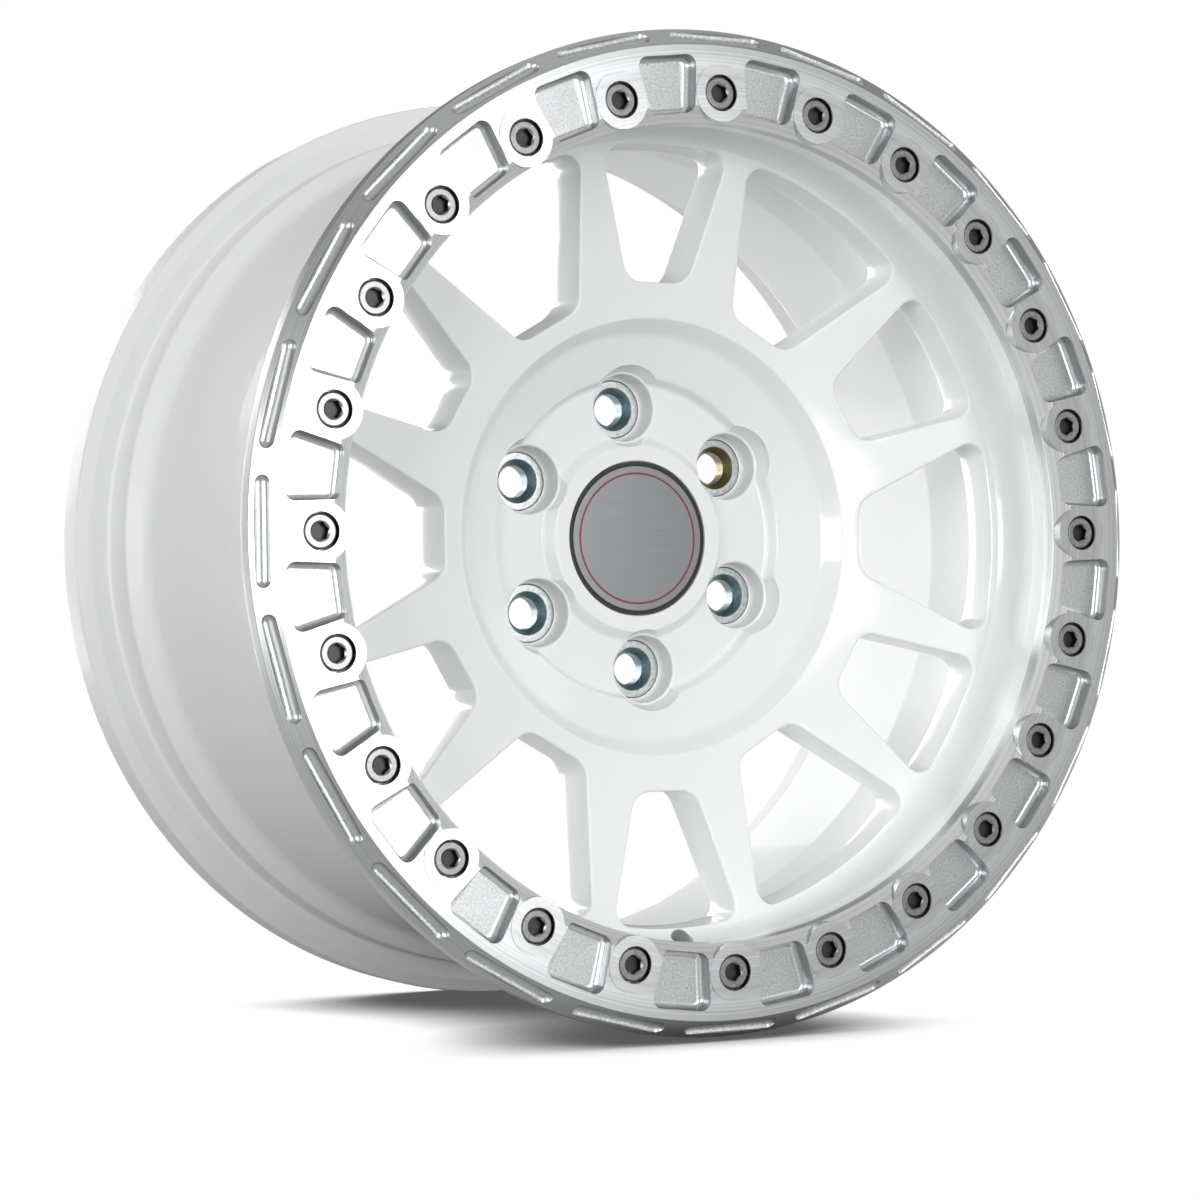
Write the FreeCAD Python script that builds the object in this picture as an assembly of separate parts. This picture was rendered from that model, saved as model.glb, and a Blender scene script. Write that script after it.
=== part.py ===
# Alloy wheel with a bolted bead-lock ring, 18 x 8.5 J, offset 12 mm, six lugs on 135 mm.
# Frame: spin axis along +Y with the show face towards -Y, +Z up, millimetres.
# Origin: on the spin axis, in the plane of the hub mounting face.
import FreeCAD, Part
import math
import os

# Main sizes
RIM_OFFSET = 12.0            # rim mid-plane behind the mounting face
RIM_WIDTH = 215.9            # between the bead faces, 8.5 inches
BEAD_SEAT_R = 231.0          # bead seat radius of an 18 inch rim
REAR_FLANGE_HEIGHT = 16.8    # rear flange above the bead seat
REAR_FLANGE_WIDTH = 25.8     # rear bead face to rear edge
REAR_FLANGE_TOE = 1.0        # slope of the flange face at its foot
REAR_FLANGE_SLOPE = 4.0      # slope of the flange face at its top
REAR_FLANGE_ROUND = 2.0      # rounding of the flange edges
BARREL_WALL = 7.0            # wall of the barrel
WELL_DEPTH = 18.0            # drop centre below the bead seat
WELL_ROUND = 10.0            # rounding at the ends of the drop centre
WELL_FRONT = 36.0            # front bead face to the start of the drop centre
WELL_LENGTH = 62.0           # length of the drop centre
BARREL_REAR_DEPTH = 10.0     # barrel below the bead seat where it meets the rear bead seat
BEAD_SEAT_WIDTH = 24.0       # width of the rear bead seat
BEAD_SEAT_STEP = 8.0         # length of the slope below the rear bead seat

# Hub
HUB_THICKNESS = 28.0         # mounting face to lug face
HUB_BORE_R = 43.55           # centre bore, 87.1 mm across
HUB_BORE_DEPTH = 16.0        # depth of the centre bore from the mounting face
HUB_PAD_R = 80.0             # outer radius of the mounting pad
HUB_PAD_CHAMFER = 6.0        # chamfer round the mounting pad
CAP_BORE_R = 36.0            # bore that the cap clips into
CAP_RELIEF_R = 39.0          # relief behind that bore for the barbs of the cap
CAP_RELIEF_DEPTH = 4.5
CAP_SEAT_R = 39.9            # recess for the flange of the cap
CAP_SEAT_DEPTH = 3.8         # depth of that recess
BOSS_TOP_R = 48.0            # front edge of the raised centre boss
BOSS_FOOT_R = 52.5           # foot of the centre boss
BOSS_HEIGHT = 4.6            # centre boss above the lug face
LUG_FACE_R = 80.5            # outer radius of the lug face
LUG_WALL_RUN = 2.0           # radial run of the wall round the lug face
LUG_WALL_HEIGHT = 6.5        # height of that wall
DISH_R = 104.0               # outer radius of the conical dish
DISH_RISE = 9.5              # rise of the dish
LIP_R = 111.0                # lip of the hub dish
LIP_RISE = 9.7               # rise from the dish to the lip
LIP_ROUND = 1.6              # rounding of the lip
DISH_ROUND = 9.0             # fillet between the dish and the lip
LUG_WALL_ROUND = 2.0         # fillets at the foot and top of the wall round the lug face
BOSS_ROUND = 1.5             # fillets of the centre boss

# Lug holes and their steel seats
LUG_COUNT = 6
LUG_PCD = 135.0
LUG_PHASE = 35.0             # angle of the first lug from +X towards +Z
LUG_COUNTERBORE_R = 17.2
LUG_COUNTERBORE_DEPTH = 12.0
SEAT_R = 15.0                # outer radius of a seat
SEAT_LENGTH = 12.5           # length of a seat
SEAT_MOUTH_R = 11.2          # mouth of the 60 degree cone
SEAT_BORE_R = 8.25           # bore of a seat
SEAT_EDGE = 0.8              # chamfer on the front of a seat
SEAT_FIT = 0.05              # radial clearance of a seat in its hole
STUD_HOLE_R = 9.0            # hole through the floor under a seat

# Spokes and windows
SPOKE_COUNT = 12
PATTERN_PHASE = 1.0          # turn of the spoke and bolt patterns about the axis
WIDE_INNER_R = 121.0         # inner end of the wide windows, which lie between lugs
WIDE_INNER_WIDTH = 36.6
WIDE_FLARE = 0.506           # widening of a wide window on each side, per length
NARROW_INNER_R = 129.2       # inner end of the narrow windows, which face a lug
NARROW_INNER_WIDTH = 34.6
NARROW_FLARE = 0.298         # widening of a narrow window on each side, per length
WINDOW_INNER_CORNER_R = 11.0
WINDOW_OUTER_CORNER_R = 8.5
SPOKE_FACE_RISE = 14.0       # rise of the spoke face from the lip to the window ends
SPOKE_END_THICKNESS = 22.5   # spoke depth at the rim
SPOKE_MID_R = 188.0
SPOKE_MID_BACK = 38.0        # back of the spoke in front of the mounting face, near the rim
SPOKE_ROOT_R = 122.0
SPOKE_ROOT_BACK = 24.0       # back of the spoke in front of the mounting face, at the hub

# Front of the rim, which takes the ring
RING_SEAT = 13.5             # ring seat in front of the bead shelf
FLANGE_HEIGHT = 26.5         # ring seat between its bore and the spigot
FLANGE_LAND = 11.0           # width of the bore of the front flange
FLANGE_CHAMFER = 3.0
DISH_UNDERCUT = 4.0          # wall of the front dish behind the flange bore
DISH_FILLET_R = 9.0          # fillet between that wall and the spoke face
WINDOW_RIM = 8.0             # windows end inside that wall
SPIGOT_STEP = 12.0           # bead shelf beyond the spigot that centres the ring
SHELF_THICKNESS = 8.0
SHELF_SLOPE = 10.0           # length of the slope behind the bead shelf
SHELF_DROP = 13.0            # height of that slope
SHELF_ROUND = 1.5            # rounding of the shelf edges

# Valve hole
VALVE_HOLE_R = 5.75
VALVE_ANGLE = -90.0
VALVE_INSET = 4.5            # hole leaves the front dish inside its wall
VALVE_SETBACK = 37.0         # ring seat to that point
VALVE_TILT = 45.0            # hole axis from the spin axis
VALVE_LENGTH = 60.0          # length of the drill

# Bead-lock ring
RING_INSET = 1.4             # ring inside the rear flange's outline
RING_OVERHANG = 6.4          # ring beyond the bead shelf
RING_REACH = 1.2             # ring inside the flange bore
RING_THICKNESS = 13.0        # at the bolts
RING_CHAMFER_RUN = 8.9       # radial run of the outer chamfer
RING_CHAMFER_DEPTH = 9.0     # depth of the outer chamfer
RING_LIP = 4.5               # clamping lip behind the ring seat
RING_FIT = 0.4               # radial clearance on the spigot
BEVEL_RUN = 7.7              # radial run of the inner bevel
BEVEL_DEPTH = 5.4
POCKET_INSET = 9.9           # inner end of a pocket inside the bolt circle
POCKET_EDGE = 5.0            # outer end of a pocket inside the edge of the face
POCKET_MARGIN = 1.6          # pocket clear of a boss at its inner end
POCKET_FLARE = 4.7           # widening of a pocket on each side
POCKET_CORNER_R = 4.0
POCKET_DEPTH = 8.0
POCKET_FLOOR_EDGE = 3.0      # chamfer round the pocket floor
SLOT_R = 4.0                 # half width of the slots in the outer chamfer
SLOT_DEPTH = 3.2             # depth of the slots below the chamfer
SLOT_SWEEP = 11.2            # angle of a slot between its end centres

# Ring bolts, M10 low-head socket screws
BOLT_COUNT = 24
BOLT_INSET = 13.6            # bolt circle inside the spigot
BOLT_R = 5.0
BOLT_LENGTH = 25.0
BOLT_HEAD_R = 8.0
BOLT_HEAD_HEIGHT = 6.5
BOLT_HEAD_EDGE = 0.8
BOLT_HEX = 8.0               # across flats
BOLT_HEX_DEPTH = 4.0
BOLT_SINK = 0.8              # head below the ring face
BOLT_BOSS_R = 14.2
COUNTERBORE_GAP = 1.0        # radial gap round a head
BOLT_HOLE_GAP = 0.5          # radial gap round a shank in the ring
THREAD_GAP = 0.05            # radial gap round a shank in the wheel
BOLT_HOLE_SPARE = 2.5        # tapped hole beyond the bolt

# Centre cap
CAP_R = 39.4
CAP_FLANGE = 2.6             # thickness of the flange of the cap
CAP_RIM_WIDTH = 1.8          # black rim round the badge
BADGE_THICKNESS = 0.8
BADGE_FIT = 0.1              # radial clearance of the badge
BADGE_SINK = 0.2             # badge below the rim
SKIRT_CLEARANCE = 0.4        # radial clearance of the clips in the cap bore
SKIRT_WALL = 2.2
CLIP_COUNT = 6
CLIP_GAP = 9.0               # gap between neighbouring clips
BARB_REACH = 1.0             # barb beyond the cap bore
BARB_HEIGHT = 3.0
BARB_PLAY = 0.3              # barb behind its step
WIRE = 1.6                   # square spring wire
WIRE_FIT = 0.05

# Radii worked out from the sizes above
REAR_FLANGE_R = BEAD_SEAT_R + REAR_FLANGE_HEIGHT
WELL_R = BEAD_SEAT_R - WELL_DEPTH
BARREL_REAR_R = BEAD_SEAT_R - BARREL_REAR_DEPTH
RING_OUTER_R = REAR_FLANGE_R - RING_INSET
RING_FACE_R = RING_OUTER_R - RING_CHAMFER_RUN
SHELF_R = RING_OUTER_R - RING_OVERHANG
SHELF_FOOT_R = SHELF_R - SHELF_DROP
SPIGOT_R = SHELF_R - SPIGOT_STEP
BOLT_CIRCLE_R = SPIGOT_R - BOLT_INSET
FLANGE_BORE_R = SPIGOT_R - FLANGE_HEIGHT
DISH_WALL_R = FLANGE_BORE_R + DISH_UNDERCUT
WINDOW_OUTER_R = DISH_WALL_R - WINDOW_RIM
VALVE_R = DISH_WALL_R - VALVE_INSET
RING_BORE_R = FLANGE_BORE_R - RING_REACH
BEVEL_R = RING_BORE_R + BEVEL_RUN
POCKET_INNER_R = BOLT_CIRCLE_R - POCKET_INSET
POCKET_OUTER_R = RING_FACE_R - POCKET_EDGE
BOSS_SPACE = 2 * BOLT_CIRCLE_R * math.sin(math.pi / BOLT_COUNT) - 2 * BOLT_BOSS_R
POCKET_INNER_WIDTH = BOSS_SPACE - 2 * POCKET_MARGIN
POCKET_OUTER_WIDTH = POCKET_INNER_WIDTH + 2 * POCKET_FLARE

# Places worked out from the sizes above, along the spin axis
REAR_FACE = RIM_OFFSET + RIM_WIDTH / 2
SHELF_FACE = RIM_OFFSET - RIM_WIDTH / 2
REAR_EDGE = REAR_FACE + REAR_FLANGE_WIDTH
SEAT_FACE = SHELF_FACE - RING_SEAT
RING_FACE = SEAT_FACE - RING_THICKNESS
LUG_FACE = -HUB_THICKNESS
BOSS_FACE = LUG_FACE - BOSS_HEIGHT
CAP_SEAT = BOSS_FACE + CAP_SEAT_DEPTH
CAP_STEP = -HUB_BORE_DEPTH - CAP_RELIEF_DEPTH
DISH_FOOT = LUG_FACE - LUG_WALL_HEIGHT
DISH_TOP = DISH_FOOT - DISH_RISE
LIP_FACE = DISH_TOP - LIP_RISE
SPOKE_END_FACE = LIP_FACE - SPOKE_FACE_RISE
SPOKE_END_BACK = SPOKE_END_FACE + SPOKE_END_THICKNESS
SEAT_FRONT = LUG_FACE + LUG_COUNTERBORE_DEPTH
SEAT_BACK = SEAT_FRONT + SEAT_LENGTH
CAP_FACE = CAP_SEAT - CAP_FLANGE
BOLT_TOP = RING_FACE + BOLT_SINK
BOLT_SEAT = BOLT_TOP + BOLT_HEAD_HEIGHT
BOLT_END = BOLT_SEAT + BOLT_LENGTH

ORIGIN = FreeCAD.Vector(0, 0, 0)
SPIN = FreeCAD.Vector(0, 1, 0)


def rounding(before, corner, after, radius):
    """Start, middle and end of the arc that rounds a corner."""
    back = (before - corner).normalize()
    ahead = (after - corner).normalize()
    half = back.getAngle(ahead) / 2
    reach = radius / math.tan(half)
    inwards = (back + ahead).normalize()
    middle = corner + inwards * (radius / math.sin(half) - radius)
    return corner + back * reach, middle, corner + ahead * reach


def section(points):
    """Face in the X-Y plane; a point is (radius, place along the axis) and may have a rounding."""
    corners = [FreeCAD.Vector(point[0], point[1], 0) for point in points]
    bends = []
    for index, point in enumerate(points):
        corner = corners[index]
        bend = (corner,)
        if len(point) == 3:
            bend = rounding(corners[index - 1], corner, corners[(index + 1) % len(points)], point[2])
        bends.append(bend)
    edges = []
    for index, bend in enumerate(bends):
        edges.append(Part.makeLine(bends[index - 1][-1], bend[0]))
        if len(bend) == 3:
            edges.append(Part.Arc(*bend).toShape())
    return Part.Face(Part.Wire(edges))


def turned(points):
    """Body of revolution about the spin axis."""
    return section(points).revolve(ORIGIN, SPIN, 360)


def at_angle(shape, angle):
    """Copy of a shape turned about the spin axis, from +X towards +Z."""
    copy = shape.copy()
    copy.rotate(ORIGIN, SPIN, -angle)
    return copy


def around(shape, count, start):
    """Copies of a shape, evenly spaced about the spin axis."""
    return [at_angle(shape, start + 360.0 * index / count) for index in range(count)]


def rod(radius, front, back, offset=0.0):
    """Cylinder along the spin axis, at a radius along +X."""
    return Part.makeCylinder(radius, back - front, FreeCAD.Vector(offset, front, 0), SPIN)


def upright_edges(prism):
    """Edges of a prism that run along the spin axis."""
    return [
        edge for edge in prism.Edges
        if len(edge.Vertexes) == 2
        and abs(edge.tangentAt(edge.FirstParameter).y) > 0.999
    ]


def trapezoid(inner, outer, inner_width, outer_width, front, back, corner):
    """Prism that widens outwards along +X, with rounded corners."""
    points = [
        FreeCAD.Vector(inner, front, -inner_width / 2),
        FreeCAD.Vector(outer, front, -outer_width / 2),
        FreeCAD.Vector(outer, front, outer_width / 2),
        FreeCAD.Vector(inner, front, inner_width / 2),
    ]
    face = Part.Face(Part.makePolygon(points + points[:1]))
    prism = face.extrude(FreeCAD.Vector(0, back - front, 0))
    return prism.makeFillet(corner, upright_edges(prism))


def wheel_body():
    """Forged wheel before its holes, as one section turned about the axis."""
    well_start = SHELF_FACE + WELL_FRONT
    well_end = well_start + WELL_LENGTH
    seat_front = REAR_FACE - BEAD_SEAT_WIDTH
    slope_front = seat_front - BEAD_SEAT_STEP
    shelf_back = SHELF_FACE + SHELF_THICKNESS
    land_end = SEAT_FACE + FLANGE_LAND
    lip_r = REAR_FLANGE_R - BARREL_WALL
    face_slope = SPOKE_FACE_RISE / (WINDOW_OUTER_R - LIP_R)
    wall_foot = SPOKE_END_FACE - WINDOW_RIM * face_slope
    outside = [
        (FLANGE_BORE_R, SEAT_FACE),
        (SPIGOT_R, SEAT_FACE),
        (SPIGOT_R, SHELF_FACE),
        (SHELF_R, SHELF_FACE, SHELF_ROUND),
        (SHELF_R, shelf_back, SHELF_ROUND),
        (SHELF_FOOT_R, shelf_back + SHELF_SLOPE),
        (WELL_R, well_start, WELL_ROUND),
        (WELL_R, well_end, WELL_ROUND),
        (BARREL_REAR_R, slope_front),
        (BEAD_SEAT_R, seat_front, REAR_FLANGE_ROUND),
        (BEAD_SEAT_R, REAR_FACE, REAR_FLANGE_ROUND),
        (lip_r, REAR_FACE + REAR_FLANGE_TOE),
        (REAR_FLANGE_R, REAR_FACE + REAR_FLANGE_SLOPE, REAR_FLANGE_ROUND),
        (REAR_FLANGE_R, REAR_EDGE, REAR_FLANGE_ROUND),
    ]
    inside = [
        (lip_r, REAR_EDGE),
        (lip_r, REAR_FACE + BARREL_WALL),
        (BEAD_SEAT_R - BARREL_WALL, REAR_FACE),
        (BEAD_SEAT_R - BARREL_WALL, seat_front),
        (BARREL_REAR_R - BARREL_WALL, slope_front),
        (WELL_R - BARREL_WALL, well_end),
        (WELL_R - BARREL_WALL, SPOKE_END_BACK + BARREL_WALL),
        (WINDOW_OUTER_R, SPOKE_END_BACK),
    ]
    hub = [
        (SPOKE_MID_R, -SPOKE_MID_BACK),
        (SPOKE_ROOT_R, -SPOKE_ROOT_BACK),
        (HUB_PAD_R + HUB_PAD_CHAMFER, -HUB_PAD_CHAMFER),
        (HUB_PAD_R, 0),
        (HUB_BORE_R, 0),
        (HUB_BORE_R, -HUB_BORE_DEPTH),
        (CAP_RELIEF_R, -HUB_BORE_DEPTH),
        (CAP_RELIEF_R, CAP_STEP),
        (CAP_BORE_R, CAP_STEP),
        (CAP_BORE_R, CAP_SEAT),
        (CAP_SEAT_R, CAP_SEAT),
        (CAP_SEAT_R, BOSS_FACE),
        (BOSS_TOP_R, BOSS_FACE, BOSS_ROUND),
        (BOSS_FOOT_R, LUG_FACE, BOSS_ROUND),
        (LUG_FACE_R, LUG_FACE, LUG_WALL_ROUND),
        (LUG_FACE_R + LUG_WALL_RUN, DISH_FOOT, LUG_WALL_ROUND),
        (DISH_R, DISH_TOP, DISH_ROUND),
        (LIP_R, LIP_FACE, LIP_ROUND),
        (DISH_WALL_R, wall_foot, DISH_FILLET_R),
        (DISH_WALL_R, land_end + FLANGE_CHAMFER),
        (FLANGE_BORE_R, land_end),
    ]
    return turned(outside + inside + hub)


def window(inner_r, inner_width, flare):
    """Tool for one window: it widens from its inner end to the rim, with rounded corners."""
    reach = WINDOW_OUTER_R + WINDOW_OUTER_CORNER_R
    front = SEAT_FACE
    back = 0.0
    outer_width = inner_width + 2 * flare * (reach - inner_r)
    points = [
        FreeCAD.Vector(inner_r, front, -inner_width / 2),
        FreeCAD.Vector(reach, front, -outer_width / 2),
        FreeCAD.Vector(reach, front, outer_width / 2),
        FreeCAD.Vector(inner_r, front, inner_width / 2),
    ]
    face = Part.Face(Part.makePolygon(points + points[:1]))
    wedge = face.extrude(FreeCAD.Vector(0, back - front, 0))
    prism = wedge.common(rod(WINDOW_OUTER_R, front, back))
    middle_r = (inner_r + WINDOW_OUTER_R) / 2
    outer = [edge for edge in upright_edges(prism) if edge.CenterOfMass.x > middle_r]
    prism = prism.makeFillet(WINDOW_OUTER_CORNER_R, outer)
    inner = [edge for edge in upright_edges(prism) if edge.CenterOfMass.x < middle_r]
    return prism.makeFillet(WINDOW_INNER_CORNER_R, inner)


def valve_drill():
    """Drill for the valve hole, slanting from the front dish to the tyre side."""
    tilt = math.radians(VALVE_TILT)
    mouth = FreeCAD.Vector(VALVE_R, SEAT_FACE + VALVE_SETBACK, 0)
    inwards = FreeCAD.Vector(math.sin(tilt), math.cos(tilt), 0)
    start = mouth - inwards * (VALVE_LENGTH / 3)
    drill = Part.makeCylinder(VALVE_HOLE_R, VALVE_LENGTH, start, inwards)
    return at_angle(drill, VALVE_ANGLE + PATTERN_PHASE)


def wheel():
    """The forged wheel with its windows, lug holes, tapped holes and valve hole."""
    lug = rod(LUG_COUNTERBORE_R, BOSS_FACE, SEAT_FRONT, LUG_PCD / 2)
    lug = lug.fuse(rod(SEAT_R, SEAT_FRONT, SEAT_BACK, LUG_PCD / 2))
    lug = lug.fuse(rod(STUD_HOLE_R, SEAT_BACK, HUB_PAD_CHAMFER, LUG_PCD / 2))
    tapped = rod(BOLT_R + THREAD_GAP, RING_FACE, BOLT_END + BOLT_HOLE_SPARE, BOLT_CIRCLE_R)
    pitch = 360.0 / SPOKE_COUNT
    wide = window(WIDE_INNER_R, WIDE_INNER_WIDTH, WIDE_FLARE)
    narrow = window(NARROW_INNER_R, NARROW_INNER_WIDTH, NARROW_FLARE)
    cuts = around(wide, SPOKE_COUNT // 2, PATTERN_PHASE)
    cuts += around(narrow, SPOKE_COUNT // 2, PATTERN_PHASE + pitch)
    cuts += around(lug, LUG_COUNT, LUG_PHASE)
    cuts += around(tapped, BOLT_COUNT, PATTERN_PHASE)
    cuts.append(valve_drill())
    return wheel_body().cut(cuts)


def pocket():
    """Tool for one pocket of the ring, kept clear of the two bolt bosses beside it."""
    floor = RING_FACE + POCKET_DEPTH
    prism = trapezoid(
        POCKET_INNER_R, POCKET_OUTER_R, POCKET_INNER_WIDTH, POCKET_OUTER_WIDTH,
        RING_FACE - POCKET_DEPTH, floor, POCKET_CORNER_R,
    )
    boss = rod(BOLT_BOSS_R, RING_FACE - 2 * POCKET_DEPTH, floor + POCKET_DEPTH, BOLT_CIRCLE_R)
    half_pitch = 180.0 / BOLT_COUNT
    prism = prism.cut([at_angle(boss, half_pitch), at_angle(boss, -half_pitch)])
    floor_edges = [
        edge for edge in prism.Edges
        if abs(edge.BoundBox.YMin - floor) < 0.001 and abs(edge.BoundBox.YMax - floor) < 0.001
    ]
    return prism.makeChamfer(POCKET_FLOOR_EDGE, floor_edges)


def slot():
    """Round-ended tool for one slot in the outer chamfer of the ring."""
    run = RING_OUTER_R - RING_FACE_R
    slope = math.hypot(run, RING_CHAMFER_DEPTH)
    along = FreeCAD.Vector(run / slope, RING_CHAMFER_DEPTH / slope, 0)
    into = FreeCAD.Vector(-along.y, along.x, 0)
    middle = FreeCAD.Vector(RING_FACE_R + run / 2, RING_FACE + RING_CHAMFER_DEPTH / 2, 0)
    outer = middle - into * SLOT_DEPTH
    inner = middle + into * SLOT_DEPTH
    corners = [
        outer - along * SLOT_R,
        outer + along * SLOT_R,
        inner + along * SLOT_R,
        inner - along * SLOT_R,
    ]
    groove = Part.Face(Part.makePolygon(corners + corners[:1])).revolve(ORIGIN, SPIN, SLOT_SWEEP)
    groove = at_angle(groove, SLOT_SWEEP / 2)
    end = Part.makeCylinder(SLOT_R, 2 * SLOT_DEPTH, outer, into)
    return groove.fuse([at_angle(end, SLOT_SWEEP / 2), at_angle(end, -SLOT_SWEEP / 2)])


def beadlock_ring():
    """Machined ring with bolt bosses, pockets between them and slots in its chamfer."""
    lip_back = SEAT_FACE + RING_LIP
    body = turned([
        (RING_BORE_R, RING_FACE + BEVEL_DEPTH),
        (BEVEL_R, RING_FACE),
        (RING_FACE_R, RING_FACE),
        (RING_OUTER_R, RING_FACE + RING_CHAMFER_DEPTH),
        (RING_OUTER_R, lip_back),
        (SPIGOT_R + RING_FIT, lip_back),
        (SPIGOT_R + RING_FIT, SEAT_FACE),
        (RING_BORE_R, SEAT_FACE),
    ])
    bore = rod(RING_BORE_R, RING_FACE, SEAT_FACE)
    boss = rod(BOLT_BOSS_R, RING_FACE, SEAT_FACE, BOLT_CIRCLE_R).cut(bore)
    half_pitch = 180.0 / BOLT_COUNT
    hole = rod(BOLT_HEAD_R + COUNTERBORE_GAP, RING_FACE, BOLT_SEAT, BOLT_CIRCLE_R)
    hole = hole.fuse(rod(BOLT_R + BOLT_HOLE_GAP, BOLT_SEAT, SEAT_FACE, BOLT_CIRCLE_R))
    body = body.fuse(around(boss, BOLT_COUNT, PATTERN_PHASE)).removeSplitter()
    body = body.cut(around(hole, BOLT_COUNT, PATTERN_PHASE))
    body = body.cut(around(slot(), BOLT_COUNT, PATTERN_PHASE))
    return body.cut(around(pocket(), BOLT_COUNT, PATTERN_PHASE + half_pitch))


def ring_bolts():
    """Socket head screws that hold the ring."""
    head = rod(BOLT_HEAD_R, BOLT_TOP, BOLT_SEAT, BOLT_CIRCLE_R)
    front_edges = [edge for edge in head.Edges if abs(edge.BoundBox.YMax - BOLT_TOP) < 0.001]
    head = head.makeChamfer(BOLT_HEAD_EDGE, front_edges)
    shank = rod(BOLT_R, BOLT_SEAT, BOLT_END, BOLT_CIRCLE_R)
    corner_r = BOLT_HEX / math.sqrt(3)
    corners = [
        FreeCAD.Vector(
            BOLT_CIRCLE_R + corner_r * math.cos(math.radians(60 * index)),
            BOLT_TOP,
            corner_r * math.sin(math.radians(60 * index)),
        )
        for index in range(7)
    ]
    socket = Part.Face(Part.makePolygon(corners)).extrude(SPIN * BOLT_HEX_DEPTH)
    bolt = head.fuse(shank).cut(socket)
    return Part.makeCompound(around(bolt, BOLT_COUNT, PATTERN_PHASE))


def lug_seat():
    """Steel seat for one lug nut: a 60 degree cone that leads into the stud bore."""
    radius = SEAT_R - SEAT_FIT
    cone_depth = (SEAT_MOUTH_R - SEAT_BORE_R) / math.tan(math.radians(30))
    face = section([
        (SEAT_BORE_R, SEAT_FRONT + cone_depth),
        (SEAT_MOUTH_R, SEAT_FRONT),
        (radius - SEAT_EDGE, SEAT_FRONT),
        (radius, SEAT_FRONT + SEAT_EDGE),
        (radius, SEAT_BACK),
        (SEAT_BORE_R, SEAT_BACK),
    ])
    seat = face.revolve(ORIGIN, SPIN, 360)
    seat.translate(FreeCAD.Vector(LUG_PCD / 2, 0, 0))
    return seat


def cap_body():
    """Plastic cap: flange with a raised rim, and a skirt split into barbed clips."""
    skirt_r = CAP_BORE_R - SKIRT_CLEARANCE
    badge_floor = CAP_FACE + BADGE_SINK + BADGE_THICKNESS
    barb_front = CAP_STEP + BARB_PLAY
    barb_back = barb_front + BARB_HEIGHT
    flange = turned([
        (0, badge_floor),
        (CAP_R - CAP_RIM_WIDTH, badge_floor),
        (CAP_R - CAP_RIM_WIDTH, CAP_FACE),
        (CAP_R, CAP_FACE),
        (CAP_R, CAP_SEAT),
        (0, CAP_SEAT),
    ])
    skirt = turned([
        (skirt_r - SKIRT_WALL, CAP_SEAT),
        (skirt_r, CAP_SEAT),
        (skirt_r, barb_front),
        (CAP_BORE_R + BARB_REACH, barb_front),
        (skirt_r, barb_back),
        (skirt_r - SKIRT_WALL, barb_back),
    ])
    gap = Part.makeBox(
        CAP_R, barb_back - CAP_SEAT, CLIP_GAP, FreeCAD.Vector(0, CAP_SEAT, -CLIP_GAP / 2)
    )
    skirt = skirt.cut(around(gap, CLIP_COUNT, 0))
    return flange.fuse(skirt).removeSplitter()


def cap_badge():
    """Thin disc of brushed aluminium let into the cap."""
    front = CAP_FACE + BADGE_SINK
    return rod(CAP_R - CAP_RIM_WIDTH - BADGE_FIT, front, front + BADGE_THICKNESS)


def cap_spring():
    """Wire ring that presses the clips outwards."""
    outer = CAP_BORE_R - SKIRT_CLEARANCE - SKIRT_WALL - WIRE_FIT
    front = CAP_STEP + BARB_PLAY
    return rod(outer, front, front + WIRE).cut(rod(outer - WIRE, front, front + WIRE))


def main():
    os.makedirs("parts", exist_ok=True)
    nodes = {
        "wheel": wheel(),
        "beadlock_ring": beadlock_ring(),
        "ring_bolts": ring_bolts(),
        "cap_body": cap_body(),
        "cap_badge": cap_badge(),
        "cap_spring": cap_spring(),
    }
    for index, seat in enumerate(around(lug_seat(), LUG_COUNT, LUG_PHASE), start=1):
        nodes[f"lug_seat_{index}"] = seat
    for name, shape in nodes.items():
        shape.exportStep(f"parts/{name}.step")
        print(name, len(shape.Solids), shape.isValid(), round(shape.Volume / 1000, 1), "cm3")


main()
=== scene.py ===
"""Looks of an alloy wheel with a bolted bead-lock ring."""

from functools import partial
import math

import bmesh
import bpy
from mathutils import Matrix, Vector

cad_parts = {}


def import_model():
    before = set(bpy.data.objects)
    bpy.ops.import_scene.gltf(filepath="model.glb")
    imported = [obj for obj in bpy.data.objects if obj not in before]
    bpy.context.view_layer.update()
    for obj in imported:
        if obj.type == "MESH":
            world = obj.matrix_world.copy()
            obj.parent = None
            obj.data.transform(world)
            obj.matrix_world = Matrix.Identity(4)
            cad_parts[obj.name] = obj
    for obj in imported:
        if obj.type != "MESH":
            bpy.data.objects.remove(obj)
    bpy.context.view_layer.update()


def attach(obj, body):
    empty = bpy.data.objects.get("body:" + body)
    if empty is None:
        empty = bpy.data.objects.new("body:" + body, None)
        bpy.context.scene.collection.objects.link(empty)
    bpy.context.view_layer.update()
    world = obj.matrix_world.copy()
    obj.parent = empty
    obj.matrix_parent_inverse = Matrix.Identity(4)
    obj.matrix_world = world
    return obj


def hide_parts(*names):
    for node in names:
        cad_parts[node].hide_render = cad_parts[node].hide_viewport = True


bl_info = {
    "name": "Bead-lock wheel",
    "version": (1, 0, 0),
    "blender": (4, 5, 0),
    "location": "View3D > Sidebar > Wheel",
    "description": "Models and dresses an alloy wheel with a bolted bead-lock ring",
    "category": "Object",
}

MM = 0.001
TURN = 2.0 * math.pi

# Facets round the turned pieces; the ring's count keeps its cuts off the facet edges.
SEGMENTS = 240
RING_SEGMENTS = 336
SEAT_SEGMENTS = 96
BOLT_SEGMENTS = 64
DISC_SEGMENTS = 180

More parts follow.
